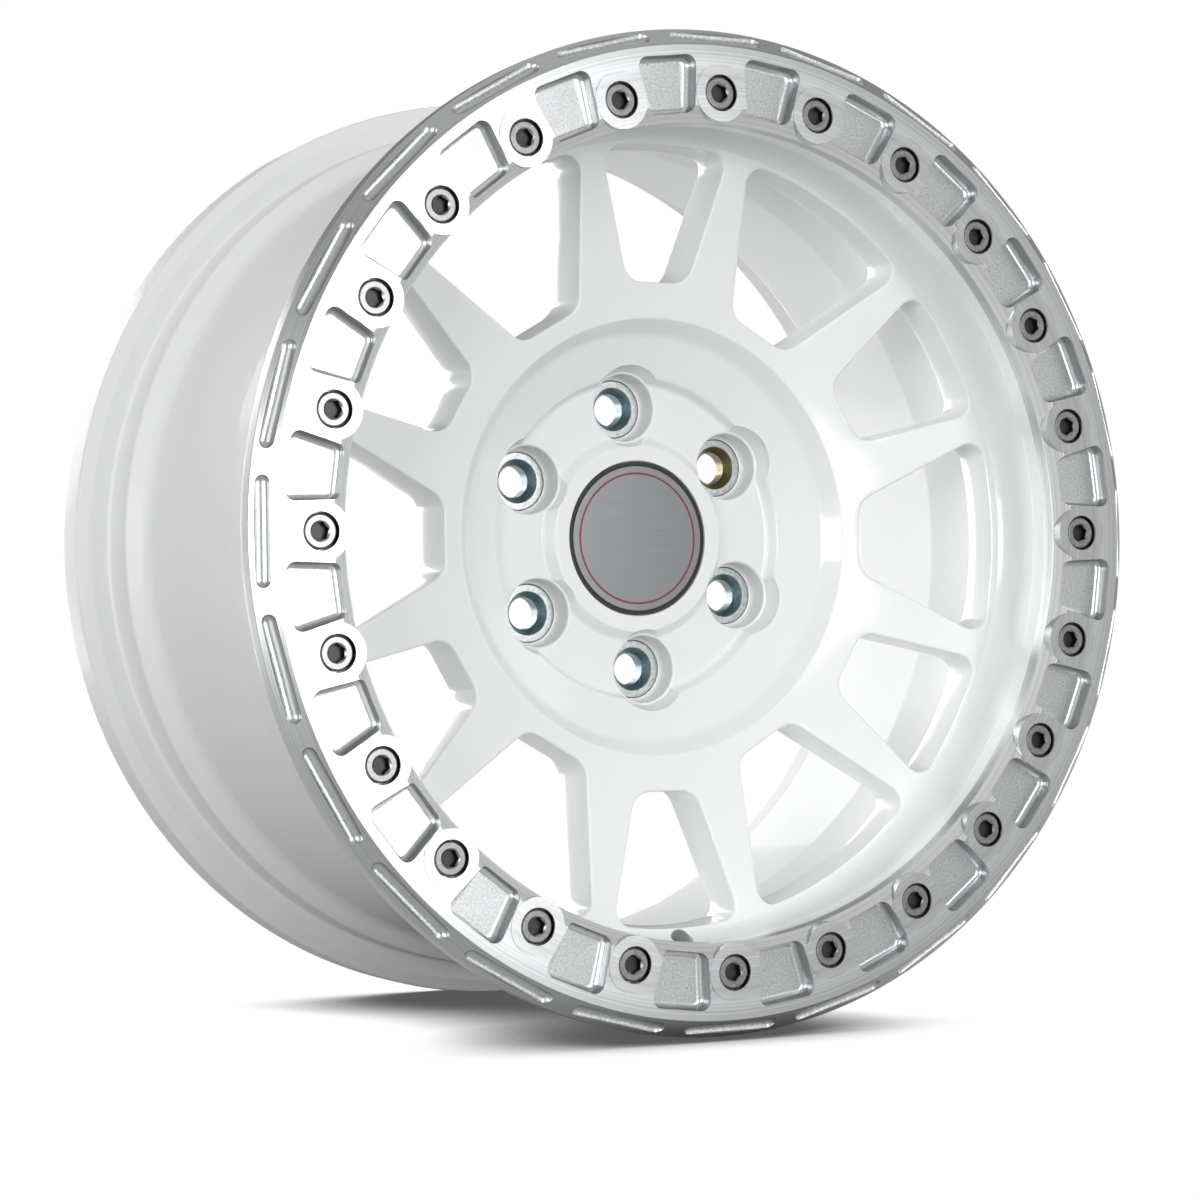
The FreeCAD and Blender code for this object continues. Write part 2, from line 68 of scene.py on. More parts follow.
# Stations along the wheel's axis in millimetres; the show face looks towards -Y, the hub face is at zero.
RING_FACE = -122.45
BEVEL_FOOT = -117.05
BOLT_SEAT = -115.15
CHAMFER_FOOT = -113.45
SEAT_FACE = -109.45
RING_BACK = -104.95
SHELF_FRONT = -95.95
SHELF_BACK = -87.95
DISH_TOP = -87.0
WELL_FRONT = -59.95
LIP_FACE = -53.7
BARREL_FRONT = -46.0
DISH_FLOOR = -44.0
BOSS_FACE = -32.6
DISC_FACE = -32.0
DISC_BACK = -31.2
CAP_SEAT = -28.8
LUG_FACE = -28.0
CAP_STEP = -20.5
LUG_FLOOR = -16.0
HUB_BORE_END = -16.0
SEAT_FRONT = -15.9
SEAT_BACK = -3.5
WELL_BACK = 2.05
BEAD_SLOPE = 87.95
BEAD_FRONT = 95.95
BEAD_BACK = 119.95
REAR_EDGE = 145.75

# Radii of the hub and the spoke disc in millimetres.
CAP_BORE_R = 36.0
DISC_R = 37.35
CIRCLE_R = 33.4
CAP_RELIEF_R = 39.0
CAP_SEAT_R = 39.9
HUB_BORE_R = 43.55
BOSS_TOP_R = 48.0
BOSS_FOOT_R = 52.5
LUG_CIRCLE_R = 67.5
LUG_PAD_R = 80.5
DISH_FLOOR_R = 104.0
LIP_R = 111.0
HUB_EDGE_R = 114.0
HUB_OUTER_R = 117.0
SPOKE_END_R = 197.5
SPOKE_PLATE_R = 204.0

# Radii of the rim and the ring in millimetres.
RIM_WALL = 7.0
BARREL_FRONT_R = 198.2
RING_BORE_R = 200.3
FLANGE_BORE_R = 201.5
DISH_WALL_R = 205.5
BEVEL_R = 208.0
WELL_R = 213.0
BOLT_CIRCLE_R = 214.4
SPIGOT_R = 228.0
RING_SPIGOT_R = 228.4
BEAD_SEAT_R = 231.0
CHAMFER_R = 237.5
SHELF_R = 240.0
SLOT_LINE_R = 243.0
RING_R = 246.4
REAR_FLANGE_R = 247.8

# Patterns: counts, and angles in degrees.
BOLT_COUNT = 24
LUG_COUNT = 6
WINDOW_COUNT = 12
PATTERN_START = 1.0
POCKET_START = PATTERN_START + 180.0 / BOLT_COUNT
LUG_START = 35.0
SLOT_SWEEP = 12.3
SOCKET_TURN = 17.0

# Spokes: slope of the front, back profile as (radius, station), and how much the window walls swell.
FRONT_SLOPE = 14.0 / 86.5
SPOKE_BACK = ((100.0, -13.0), (122.0, -24.0), (188.0, -38.0), (197.5, -45.2), (206.0, -50.5))
WALL_CREASE = 0.9
CREASE_DEPTH = 0.57
WIDE_FLARE = 0.506
NARROW_FLARE = 0.298
CORNER_STEP = 6.5
PLATE_HALF = 10.0
SLICES = 60
SLICE_START = 0.13

# Lug pockets and lug seats in millimetres.
MOUTH_ROUND = 1.2
MOUTH_RISE = 6.5
MOUTH_RUN = 3.0
FLOOR_ROUND = 1.9
LUG_HOLE_R = 15.15
SEAT_R = 14.9
SEAT_MOUTH_R = 11.2
SEAT_BORE_R = 8.25
CONE_FOOT = -10.9
CONE_EDGE_R = 11.5

# Valve hole in millimetres and degrees.
VALVE_R = 201.0
VALVE_STATION = SEAT_FACE + 37.0
VALVE_ANGLE = -89.0
VALVE_LENGTH = 60.0
VALVE_SHIFT = 10.0

# Ring pockets as (radius, half width), slots, bosses and bolts in millimetres.
POCKET_INNER = (204.5, 12.2)
POCKET_OUTER = (232.5, 17.0)
POCKET_FILLET = 3.2
SLOT_LINE = RING_FACE + 3.6
BOSS_STEP = 0.35
BORE_SPARE = 5.0
HEAD_HEIGHT = 6.5
HEAD_CHAMFER = 0.9
BOLT_LENGTH = 25.0
SHANK_R = 5.0
KEY_HALF = 4.0
SOCKET_DEPTH = 4.0
# Socket walls inside the first radius and head sides outside the second get painted shade.
SOCKET_SHADE_R = 4.7
GAP_SHADE_R = 7.0

# Camera and floor in metres and radians.
CAMERA_PLACE = (-0.74584, -1.3738, -0.05957)
CAMERA_AZIMUTH = -0.49472
CAMERA_HEIGHT = -0.01815
CAMERA_LENS = 89.64
FLOOR_LEVEL = -0.24785
FLOOR_SIZE = 12.0


def metres(prop, **more):
    """Length property shown in millimetres."""
    return bpy.props.FloatProperty(default=prop * MM, unit="LENGTH", precision=5, **more)


def colour(code, **more):
    """Colour property from an sRGB hex code."""
    return bpy.props.FloatVectorProperty(default=linear(code), size=4, subtype="COLOR", min=0.0, max=1.0,
                                         **more)


def watts(default, **more):
    """Power property of a lamp."""
    return bpy.props.FloatProperty(default=default, unit="POWER", **more)


def linear(code):
    """Linear RGBA of an sRGB hex code."""
    parts = [int(code[i:i + 2], 16) / 255.0 for i in (1, 3, 5)]
    return tuple(c / 12.92 if c <= 0.04045 else ((c + 0.055) / 1.055) ** 2.4 for c in parts) + (1.0,)


def share(default, **more):
    """Factor property between nothing and one."""
    return bpy.props.FloatProperty(default=default, min=0.0, max=1.0, subtype="FACTOR", **more)


class WheelSizes(bpy.types.PropertyGroup):
    """Sizes of the painted wheel."""
    wide_start: metres(121.0, name="Wide window", description="Radius where the wide windows begin")
    wide_width: metres(36.6, name="Wide width", description="Width of the wide windows at the hub")
    narrow_start: metres(129.2, name="Narrow window", description="Radius where the narrow windows begin")
    narrow_width: metres(34.6, name="Narrow width", description="Width of the narrow windows at the hub")
    inner_corner: metres(11.0, name="Inner corner", description="Corner radius of the windows at the hub")
    outer_corner: metres(8.5, name="Outer corner", description="Corner radius of the windows at the rim")
    edge_round: metres(1.3, name="Edge rounding", description="Rounding of the window edges")
    lug_pocket_r: metres(17.2, name="Lug pocket", description="Radius of the pockets round the lug seats")
    valve_r: metres(5.75, name="Valve hole", description="Radius of the valve hole")
    paint: colour("#EFF1F1", name="Paint", description="Gloss white of the face")
    barrel: colour("#EFF0F0", name="Barrel", description="Satin white inside the barrel")


class RingSizes(bpy.types.PropertyGroup):
    """Sizes of the bead-lock ring and its bolts."""
    boss_r: metres(14.1, name="Boss radius", description="Radius of the bosses round the bolts")
    counterbore_r: metres(9.0, name="Counterbore", description="Radius of the counterbores")
    pocket_depth: metres(8.0, name="Pocket depth", description="Depth of the pockets between the bosses")
    slot_r: metres(4.0, name="Slot radius", description="Ball radius of the slots in the chamfer")
    head_r: metres(8.3, name="Bolt head", description="Radius of the bolt heads")
    aluminium: colour("#C9CBCC", name="Aluminium", description="Bare machined aluminium")
    milled: colour("#C9CBCC", name="Milled", description="Milled floor of the pockets")
    # bevel: painted highlight, a lighter copy of the aluminium that makes the inner bevel read as bright as
    # its reflection.
    bevel: colour("#F2F3F3", name="Bevel", description="Fine turned bevel inside the bosses")
    steel: colour("#989898", name="Steel", description="Bolt steel")
    # socket: painted shade, a dark steel tone in the bolt sockets and on the heads' sides in the gaps round
    # them, where only shade falls.
    socket: colour("#484847", name="Socket", description="Dark oxide in the bolt sockets")


class CapSizes(bpy.types.PropertyGroup):
    """Colours of the centre cap and lug seats."""
    plastic: colour("#101012", name="Plastic", description="Black cap moulding")
    disc: colour("#888A8C", name="Disc", description="Brushed aluminium disc")
    line: colour("#7A1F24", name="Line", description="Painted circle on the disc")
    spring: colour("#8F8E8B", name="Spring", description="Drawn wire of the cap's spring")
    zinc: colour("#C9CDCE", name="Zinc", description="Clear zinc on the front of the lug seats")
    # The cones take a darker tint than the fronts: the blue and yellow are the zinc plating, the darker tone
    # in the cone recess is painted shade.
    blue_zinc_and_shade: colour("#9DB1B5", name="Blue zinc", description="Blue zinc in the seats' cones")
    yellow_zinc_and_shade: colour("#9C9878", name="Yellow zinc", description="Yellow zinc in one seat's cone")


class StageSizes(bpy.types.PropertyGroup):
    """Light and ground of the picture."""
    key: watts(11.0, name="Key", description="Power of the front softbox")
    side: watts(14.5, name="Side", description="Power of the left softbox")
    top: watts(2.0, name="Top", description="Power of the top softbox")
    right: watts(4.0, name="Right", description="Power of the right softbox")
    rear: watts(14.0, name="Rear", description="Power of the softbox behind")
    sky: share(0.64, name="Sky", description="Strength of the light from the front")
    rear_sky: share(0.25, name="Rear sky", description="Strength of the light from behind")


def deselect():
    """Leave edit mode and clear the selection."""
    if bpy.context.object and bpy.context.object.mode != "OBJECT":
        bpy.ops.object.mode_set(mode="OBJECT")
    bpy.ops.object.select_all(action="DESELECT")


def activate(*objects):
    """Select the objects and make the first one active."""
    deselect()
    for item in objects:
        item.select_set(True)
    bpy.context.view_layer.objects.active = objects[0]
    return objects[0]


def edit(piece, *steps):
    """Run edit-mode steps on the whole mesh of a piece."""
    activate(piece)
    bpy.ops.object.mode_set(mode="EDIT")
    bpy.ops.mesh.select_all(action="SELECT")
    for step in steps:
        step()
    bpy.ops.object.mode_set(mode="OBJECT")
    return piece


def weld():
    """Merge doubles and turn the normals out."""
    bpy.ops.mesh.remove_doubles(threshold=2e-6)
    bpy.ops.mesh.delete_loose(use_verts=True, use_edges=True, use_faces=False)
    bpy.ops.mesh.select_all(action="SELECT")
    bpy.ops.mesh.normals_make_consistent(inside=False)


def rounded(corners, steps=5):
    """Closed outline with its corners rounded; each corner is (x, y, radius)."""
    outline = []
    count = len(corners)
    for i, (x, y, radius) in enumerate(corners):
        here = Vector((x, y))
        back = Vector(corners[i - 1][:2]) - here
        ahead = Vector(corners[(i + 1) % count][:2]) - here
        half = back.angle(ahead) / 2.0
        if radius <= 0.0 or half > 1.55:
            outline.append(here)
            continue
        reach = min(radius / math.tan(half), 0.49 * back.length, 0.49 * ahead.length)
        radius = reach * math.tan(half)
        centre = here + (back.normalized() + ahead.normalized()).normalized() * radius / math.sin(half)
        first = here + back.normalized() * reach - centre
        sweep = first.angle_signed(here + ahead.normalized() * reach - centre)
        for k in range(steps + 1):
            turn = Matrix.Rotation(-sweep * k / steps, 2)
            outline.append(centre + turn @ first)
    return outline


def turned(name, outline, segments=SEGMENTS):
    """Solid of revolution about Y from a closed (radius, station) outline in millimetres."""
    deselect()
    bpy.ops.mesh.primitive_circle_add(vertices=len(outline), radius=1.0, fill_type="NOTHING")
    piece = bpy.context.object
    piece.name = name
    for vertex, (radius, station) in zip(piece.data.vertices, outline):
        vertex.co = (radius * MM, station * MM, 0.0)
    spin = partial(bpy.ops.mesh.spin, steps=segments, angle=TURN, center=(0, 0, 0), axis=(0, 1, 0))
    return edit(piece, spin, weld)


def plate(name, outlines, half_depth, bevel, steps=3):
    """Flat plate from closed XZ outlines in millimetres, its edges rounded."""
    deselect()
    curve = bpy.data.curves.new(name, "CURVE")
    curve.dimensions = "2D"
    curve.fill_mode = "BOTH"
    curve.extrude = (half_depth - bevel) * MM
    curve.bevel_depth = bevel * MM
    curve.bevel_resolution = steps
    curve.offset = -bevel * MM
    for outline in outlines:
        spline = curve.splines.new("POLY")
        spline.points.add(len(outline) - 1)
        for point, (x, z) in zip(spline.points, outline):
            point.co = (x * MM, z * MM, 0.0, 1.0)
        spline.use_cyclic_u = True
    piece = bpy.data.objects.new(name, curve)
    bpy.context.collection.objects.link(piece)
    piece.rotation_euler = (math.pi / 2.0, 0.0, 0.0)
    activate(piece)
    bpy.ops.object.convert(target="MESH")
    bpy.ops.object.transform_apply(location=True, rotation=True, scale=True)
    return edit(piece, weld)


def polar(angle, radius):
    """Place at an angle from +X towards +Z, in degrees and millimetres."""
    turn = math.radians(angle)
    return radius * math.cos(turn), radius * math.sin(turn)


def copies(piece, count, start):
    """Copy a piece round the Y axis, starting at an angle, and join the copies to one object."""
    made = []
    for i in range(count):
        turn = Matrix.Rotation(-math.radians(start + i * 360.0 / count), 4, "Y")
        copy = bpy.data.objects.new(piece.name, piece.data.copy())
        copy.data.transform(turn)
        bpy.context.collection.objects.link(copy)
        made.append(copy)
    bpy.data.objects.remove(piece)
    return join(made)


def join(pieces):
    """Join pieces into the first one."""
    activate(*pieces)
    bpy.ops.object.join()
    return pieces[0]


def cut(piece, cutter, operation="DIFFERENCE"):
    """Apply a boolean with a cutter and take the cutter away."""
    activate(piece)
    step = piece.modifiers.new("cut", "BOOLEAN")
    step.operation = operation
    step.solver = "EXACT"
    step.object = cutter
    bpy.ops.object.modifier_apply(modifier=step.name)
    bpy.data.objects.remove(cutter)
    return piece


def smooth(piece, angle=35.0):
    """Smooth shading with flat faces kept flat beside rounded edges."""
    activate(piece)
    bpy.ops.object.shade_smooth_by_angle(angle=math.radians(angle))
    step = piece.modifiers.new("flat faces", "WEIGHTED_NORMAL")
    step.keep_sharp = True
    step.weight = 90
    bpy.ops.object.modifier_apply(modifier=step.name)
    return piece


def paint(piece, *materials):
    """Give a piece its materials."""
    piece.data.materials.clear()
    for material in materials:
        piece.data.materials.append(material)


def node(tree, kind, links=(), **settings):
    """Add a shader node; settings name its properties or inputs, links feed its inputs."""
    made = tree.nodes.new(kind)
    for key, value in settings.items():
        if hasattr(made, key):
            setattr(made, key, value)
        else:
            made.inputs[key.replace("_", " ")].default_value = value
    for socket, source in links:
        tree.links.new(source, made.inputs[socket])
    return made


def new_material(name):
    """Empty node material and its node tree."""
    material = bpy.data.materials.new(name)
    material.use_nodes = True
    tree = material.node_tree
    tree.nodes.clear()
    return material, tree


def finish_material(tree, shader):
    """Link the shader to the material's output."""
    out = tree.nodes.new("ShaderNodeOutputMaterial")
    tree.links.new(shader.outputs["BSDF"], out.inputs["Surface"])


def white_paint(name, code, roughness, coat):
    """Gloss white powder paint under clear coat: a faint orange peel breaks the reflections."""
    material, tree = new_material(name)
    place = node(tree, "ShaderNodeTexCoord").outputs["Object"]
    peel = node(tree, "ShaderNodeTexNoise", [("Vector", place)], Scale=260.0, Detail=2.0)
    cloud = node(tree, "ShaderNodeTexNoise", [("Vector", place)], Scale=9.0, Detail=3.0)
    tint = node(tree, "ShaderNodeValToRGB", [("Fac", cloud.outputs["Fac"])])
    tint.color_ramp.elements[0].color = [c * 0.97 for c in code[:3]] + [1.0]
    tint.color_ramp.elements[1].color = code
    bump = node(tree, "ShaderNodeBump", [("Height", peel.outputs["Fac"])], Strength=0.03, Distance=0.0004)
    feeds = [("Base Color", tint.outputs["Color"]), ("Coat Normal", bump.outputs["Normal"])]
    shader = node(tree, "ShaderNodeBsdfPrincipled", feeds, Roughness=roughness, IOR=1.5,
                  Coat_Weight=coat, Coat_Roughness=0.06)
    finish_material(tree, shader)
    return material


def turned_aluminium(name, code):
    """Bare machined aluminium: fine turning lines run round the axis and stretch the highlights."""
    material, tree = new_material(name)
    place = node(tree, "ShaderNodeTexCoord").outputs["Object"]
    split = node(tree, "ShaderNodeSeparateXYZ", [("Vector", place)])
    flat = node(tree, "ShaderNodeCombineXYZ", [("X", split.outputs["X"]), ("Y", split.outputs["Z"])])
    radius = node(tree, "ShaderNodeVectorMath", [(0, flat.outputs["Vector"])], operation="LENGTH")
    lane = node(tree, "ShaderNodeCombineXYZ", [("X", radius.outputs["Value"]), ("Y", split.outputs["Y"])])
    lines = node(tree, "ShaderNodeTexNoise", [("Vector", lane.outputs["Vector"])], Scale=1000.0, Detail=4.0)
    rough = node(tree, "ShaderNodeMapRange", [("Value", lines.outputs["Fac"])], To_Min=0.24, To_Max=0.40)
    tint = node(tree, "ShaderNodeValToRGB", [("Fac", lines.outputs["Fac"])])
    tint.color_ramp.elements[0].position = 0.35
    tint.color_ramp.elements[0].color = [c * 0.78 for c in code[:3]] + [1.0]
    tint.color_ramp.elements[1].position = 0.65
    tint.color_ramp.elements[1].color = code
    bump = node(tree, "ShaderNodeBump", [("Height", lines.outputs["Fac"])], Strength=0.12, Distance=0.0002)
    along = node(tree, "ShaderNodeTangent", direction_type="RADIAL", axis="Y")
    feeds = [("Base Color", tint.outputs["Color"]), ("Roughness", rough.outputs["Result"]),
             ("Normal", bump.outputs["Normal"]), ("Tangent", along.outputs["Tangent"])]
    shader = node(tree, "ShaderNodeBsdfPrincipled", feeds, Metallic=1.0, Anisotropic=0.5)
    finish_material(tree, shader)
    return material


def grained_metal(name, code, roughness, scale):
    """Bare or plated metal: fine grain varies the gloss and the colour."""
    material, tree = new_material(name)
    place = node(tree, "ShaderNodeTexCoord").outputs["Object"]
    grain = node(tree, "ShaderNodeTexNoise", [("Vector", place)], Scale=scale, Detail=4.0)
    rough = node(tree, "ShaderNodeMapRange", [("Value", grain.outputs["Fac"])],
                 To_Min=roughness * 0.75, To_Max=roughness * 1.3)
    tint = node(tree, "ShaderNodeValToRGB", [("Fac", grain.outputs["Fac"])])
    tint.color_ramp.elements[0].position = 0.35
    tint.color_ramp.elements[0].color = [c * 0.74 for c in code[:3]] + [1.0]
    tint.color_ramp.elements[1].position = 0.65
    tint.color_ramp.elements[1].color = code
    bump = node(tree, "ShaderNodeBump", [("Height", grain.outputs["Fac"])], Strength=0.06, Distance=0.0002)
    feeds = [("Base Color", tint.outputs["Color"]), ("Roughness", rough.outputs["Result"]),
             ("Normal", bump.outputs["Normal"])]
    shader = node(tree, "ShaderNodeBsdfPrincipled", feeds, Metallic=1.0)
    finish_material(tree, shader)
    return material


def black_plastic(name, code):
    """Moulded black plastic: a fine grain keeps its gloss soft."""
    material, tree = new_material(name)
    place = node(tree, "ShaderNodeTexCoord").outputs["Object"]
    grain = node(tree, "ShaderNodeTexNoise", [("Vector", place)], Scale=900.0, Detail=2.0)
    rough = node(tree, "ShaderNodeMapRange", [("Value", grain.outputs["Fac"])], To_Min=0.25, To_Max=0.38)
    bump = node(tree, "ShaderNodeBump", [("Height", grain.outputs["Fac"])], Strength=0.05, Distance=0.0002)
    feeds = [("Roughness", rough.outputs["Result"]), ("Normal", bump.outputs["Normal"])]
    shader = node(tree, "ShaderNodeBsdfPrincipled", feeds, Base_Color=code, IOR=1.49)
    finish_material(tree, shader)
    return material


def brushed_disc(name, code, line):
    """Aluminium disc brushed from side to side, with one thin painted circle near its rim."""
    material, tree = new_material(name)
    place = node(tree, "ShaderNodeTexCoord").outputs["Object"]
    split = node(tree, "ShaderNodeSeparateXYZ", [("Vector", place)])
    flat = node(tree, "ShaderNodeCombineXYZ", [("X", split.outputs["X"]), ("Y", split.outputs["Z"])])
    radius = node(tree, "ShaderNodeVectorMath", [(0, flat.outputs["Vector"])], operation="LENGTH")
    stretch = node(tree, "ShaderNodeMapping", [("Vector", place)], Scale=(40.0, 1.0, 3200.0))
    hairs = node(tree, "ShaderNodeTexNoise", [("Vector", stretch.outputs["Vector"])], Scale=1.0, Detail=4.0)
    tint = node(tree, "ShaderNodeValToRGB", [("Fac", hairs.outputs["Fac"])])
    tint.color_ramp.elements[0].color = [c * 0.72 for c in code[:3]] + [1.0]
    tint.color_ramp.elements[1].color = code
    away = node(tree, "ShaderNodeMath", [(0, radius.outputs["Value"])], operation="SUBTRACT")
    away.inputs[1].default_value = CIRCLE_R * MM
    near = node(tree, "ShaderNodeMath", [(0, away.outputs["Value"])], operation="ABSOLUTE")
    band = node(tree, "ShaderNodeMapRange", [("Value", near.outputs["Value"])],
                From_Min=0.42 * MM, From_Max=0.58 * MM, To_Min=1.0, To_Max=0.0)
    mixed = node(tree, "ShaderNodeMix", [("Factor", band.outputs["Result"])], data_type="RGBA")
    tree.links.new(tint.outputs["Color"], mixed.inputs["A"])
    mixed.inputs["B"].default_value = line
    metal = node(tree, "ShaderNodeMapRange", [("Value", band.outputs["Result"])], To_Min=1.0, To_Max=0.0)
    rough = node(tree, "ShaderNodeMapRange", [("Value", hairs.outputs["Fac"])], To_Min=0.26, To_Max=0.42)
    bump = node(tree, "ShaderNodeBump", [("Height", hairs.outputs["Fac"])], Strength=0.08, Distance=0.0002)
    feeds = [("Base Color", mixed.outputs["Result"]), ("Metallic", metal.outputs["Result"]),
             ("Roughness", rough.outputs["Result"]), ("Normal", bump.outputs["Normal"])]
    shader = node(tree, "ShaderNodeBsdfPrincipled", feeds)
    finish_material(tree, shader)
    return material


def window_outline(angle, start, width, flare, sizes):
    """Outline of one window that widens from its hub end to the rim."""
    near = sizes.inner_corner / MM
    far = sizes.outer_corner / MM
    length = SPOKE_END_R - start
    for _ in range(30):
        side = width / 2.0 + flare * length
        length = math.sqrt(SPOKE_END_R ** 2 - side ** 2) - start
    edge = math.degrees(math.asin(side / SPOKE_END_R))
    corners = [(start, -width / 2.0, near), (start, width / 2.0, near)]
    corners.append((*polar(edge, SPOKE_END_R), far))
    inset = edge - CORNER_STEP
    for k in range(9):
        corners.append((*polar(inset - 2.0 * inset * k / 8, SPOKE_END_R), 0.0))
    corners.append((*polar(-edge, SPOKE_END_R), far))
    path = rounded(corners, 6)
    dense = []
    for i, point in enumerate(path):
        ahead = path[(i + 1) % len(path)]
        parts = max(1, int((ahead - point).length / 6.0))
        dense += [point.lerp(ahead, k / parts) for k in range(parts)]
    turn = Matrix.Rotation(math.radians(angle), 2)
    return [turn @ p for p in dense]


def spoke_front(radius):
    """Station of the spokes' front face."""
    return LIP_FACE - (radius - LIP_R) * FRONT_SLOPE


def spoke_back(radius):
    """Station of the spokes' back face."""
    for (r0, y0), (r1, y1) in zip(SPOKE_BACK, SPOKE_BACK[1:]):
        if radius <= r1:
            return y0 + (y1 - y0) * (radius - r0) / (r1 - r0)
    return SPOKE_BACK[-1][1]


def spokes(sizes):
    """Plate with the windows, sliced radially and drawn to the slope of the face."""
    edges = (SPOKE_PLATE_R, LIP_R + 0.8)
    outlines = [[Vector(polar(i * 2.5, radius)) for i in range(144)] for radius in edges]
    wide = (sizes.wide_start / MM, sizes.wide_width / MM, WIDE_FLARE)
    narrow = (sizes.narrow_start / MM, sizes.narrow_width / MM, NARROW_FLARE)
    for i in range(WINDOW_COUNT):
        start, width, flare = wide if i % 2 == 0 else narrow
        outlines.append(window_outline(PATTERN_START + i * 360.0 / WINDOW_COUNT, start, width, flare, sizes))
    piece = plate("spokes", outlines, PLATE_HALF, sizes.edge_round / MM)
    mesh = bmesh.new()
    mesh.from_mesh(piece.data)
    everything = mesh.verts[:] + mesh.edges[:] + mesh.faces[:]
    crease = bmesh.ops.bisect_plane(mesh, geom=everything, plane_co=(0, 0, 0), plane_no=(0, 1, 0), dist=1e-7)
    mesh.normal_update()
    middle = [item for item in crease["geom_cut"] if isinstance(item, bmesh.types.BMVert)]
    for vertex in middle:
        vertex.co += vertex.normal * WALL_CREASE * MM
    for i in range(SLICES):
        turn = math.radians(i * 180.0 / SLICES + SLICE_START)
        everything = mesh.verts[:] + mesh.edges[:] + mesh.faces[:]
        bmesh.ops.bisect_plane(mesh, geom=everything, plane_co=(0, 0, 0),
                               plane_no=(math.cos(turn), 0.0, math.sin(turn)), dist=1e-7)
    for vertex in mesh.verts:
        radius = math.hypot(vertex.co.x, vertex.co.z) / MM
        station = vertex.co.y / MM
        if abs(station) < 0.01:
            station = spoke_front(radius) + CREASE_DEPTH * (spoke_back(radius) - spoke_front(radius))
        elif station < 0.0:
            station = spoke_front(radius) + (station + PLATE_HALF)
        else:
            station = spoke_back(radius) + (station - PLATE_HALF)
        vertex.co.y = station * MM
    mesh.to_mesh(piece.data)
    mesh.free()
    return piece


def ellipse(start, end, steps=10):
    """Quarter of an ellipse that leaves the start along the radius and reaches the end along the axis."""
    (r0, y0), (r1, y1) = start, end
    return [(r0 + (r1 - r0) * math.sin(t), y1 + (y0 - y1) * math.cos(t), 0.0)
            for t in (math.pi / 2.0 * k / steps for k in range(steps + 1))]


def rim():
    """Barrel with both flanges and the concave run from the spokes to the ring seat."""
    foot_r = SPOKE_END_R - 0.1
    front = ellipse((foot_r, spoke_front(foot_r) + 0.25), (DISH_WALL_R, DISH_TOP))
    outline = rounded([
        (FLANGE_BORE_R, SEAT_FACE, 0.5), (SPIGOT_R, SEAT_FACE, 0.8), (SPIGOT_R, SHELF_FRONT, 0.5),
        (SHELF_R, SHELF_FRONT, 1.5), (SHELF_R, SHELF_BACK, 1.5), (SHELF_R - 13.0, SHELF_BACK + 10.0, 4.0),
        (WELL_R, WELL_FRONT, 10.0), (WELL_R, WELL_BACK, 40.0), (BEAD_SEAT_R - 10.0, BEAD_SLOPE, 12.0),
        (BEAD_SEAT_R, BEAD_FRONT, 3.0), (BEAD_SEAT_R, BEAD_BACK, 2.0),
        (REAR_FLANGE_R - RIM_WALL, BEAD_BACK + 1.0, 2.0), (REAR_FLANGE_R, BEAD_BACK + 4.0, 2.0),
        (REAR_FLANGE_R, REAR_EDGE, 2.5), (REAR_FLANGE_R - RIM_WALL, REAR_EDGE, 1.5),
        (REAR_FLANGE_R - RIM_WALL, BEAD_BACK + RIM_WALL, 4.0), (BEAD_SEAT_R - RIM_WALL, BEAD_BACK, 4.0),
        (BEAD_SEAT_R - RIM_WALL, BEAD_FRONT, 4.0), (BEAD_SEAT_R - 10.0 - RIM_WALL, BEAD_SLOPE, 6.0),
        (WELL_R - RIM_WALL, WELL_BACK, 30.0), (WELL_R - RIM_WALL, BARREL_FRONT + 7.8, 7.0),
        (BARREL_FRONT_R, BARREL_FRONT, 2.0), (BARREL_FRONT_R, BARREL_FRONT - 14.0, 0.0)] + front + [
        (DISH_WALL_R, SEAT_FACE + 14.0, 1.0), (FLANGE_BORE_R, SEAT_FACE + 11.0, 1.0)])
    return turned("rim", outline)


def hub():
    """Hub with its boss, lug pad, dish and lip."""
    outline = rounded([
        (CAP_BORE_R, CAP_STEP, 0.2), (CAP_RELIEF_R, CAP_STEP, 0.2), (CAP_RELIEF_R, HUB_BORE_END, 0.3),
        (HUB_BORE_R, HUB_BORE_END, 0.5), (HUB_BORE_R, 0.0, 0.8), (80.0, 0.0, 1.0), (86.0, -6.0, 2.0),
        (HUB_OUTER_R, -21.5, 2.0), (HUB_OUTER_R, -38.0, 0.0), (HUB_EDGE_R, -42.0, 0.0),
        (HUB_EDGE_R, spoke_front(HUB_EDGE_R) - 0.03, 0.0), (LIP_R, LIP_FACE - 0.03, 1.6),
        (DISH_FLOOR_R, DISH_FLOOR, 9.0), (LUG_PAD_R + 2.0, LUG_FACE - 6.5, 2.5), (LUG_PAD_R, LUG_FACE, 2.5),
        (BOSS_FOOT_R, LUG_FACE, 2.5), (BOSS_TOP_R, BOSS_FACE, 1.5), (CAP_SEAT_R, BOSS_FACE, 0.4),
        (CAP_SEAT_R, CAP_SEAT, 0.3), (CAP_BORE_R, CAP_SEAT, 0.3)])
    return turned("hub", outline)


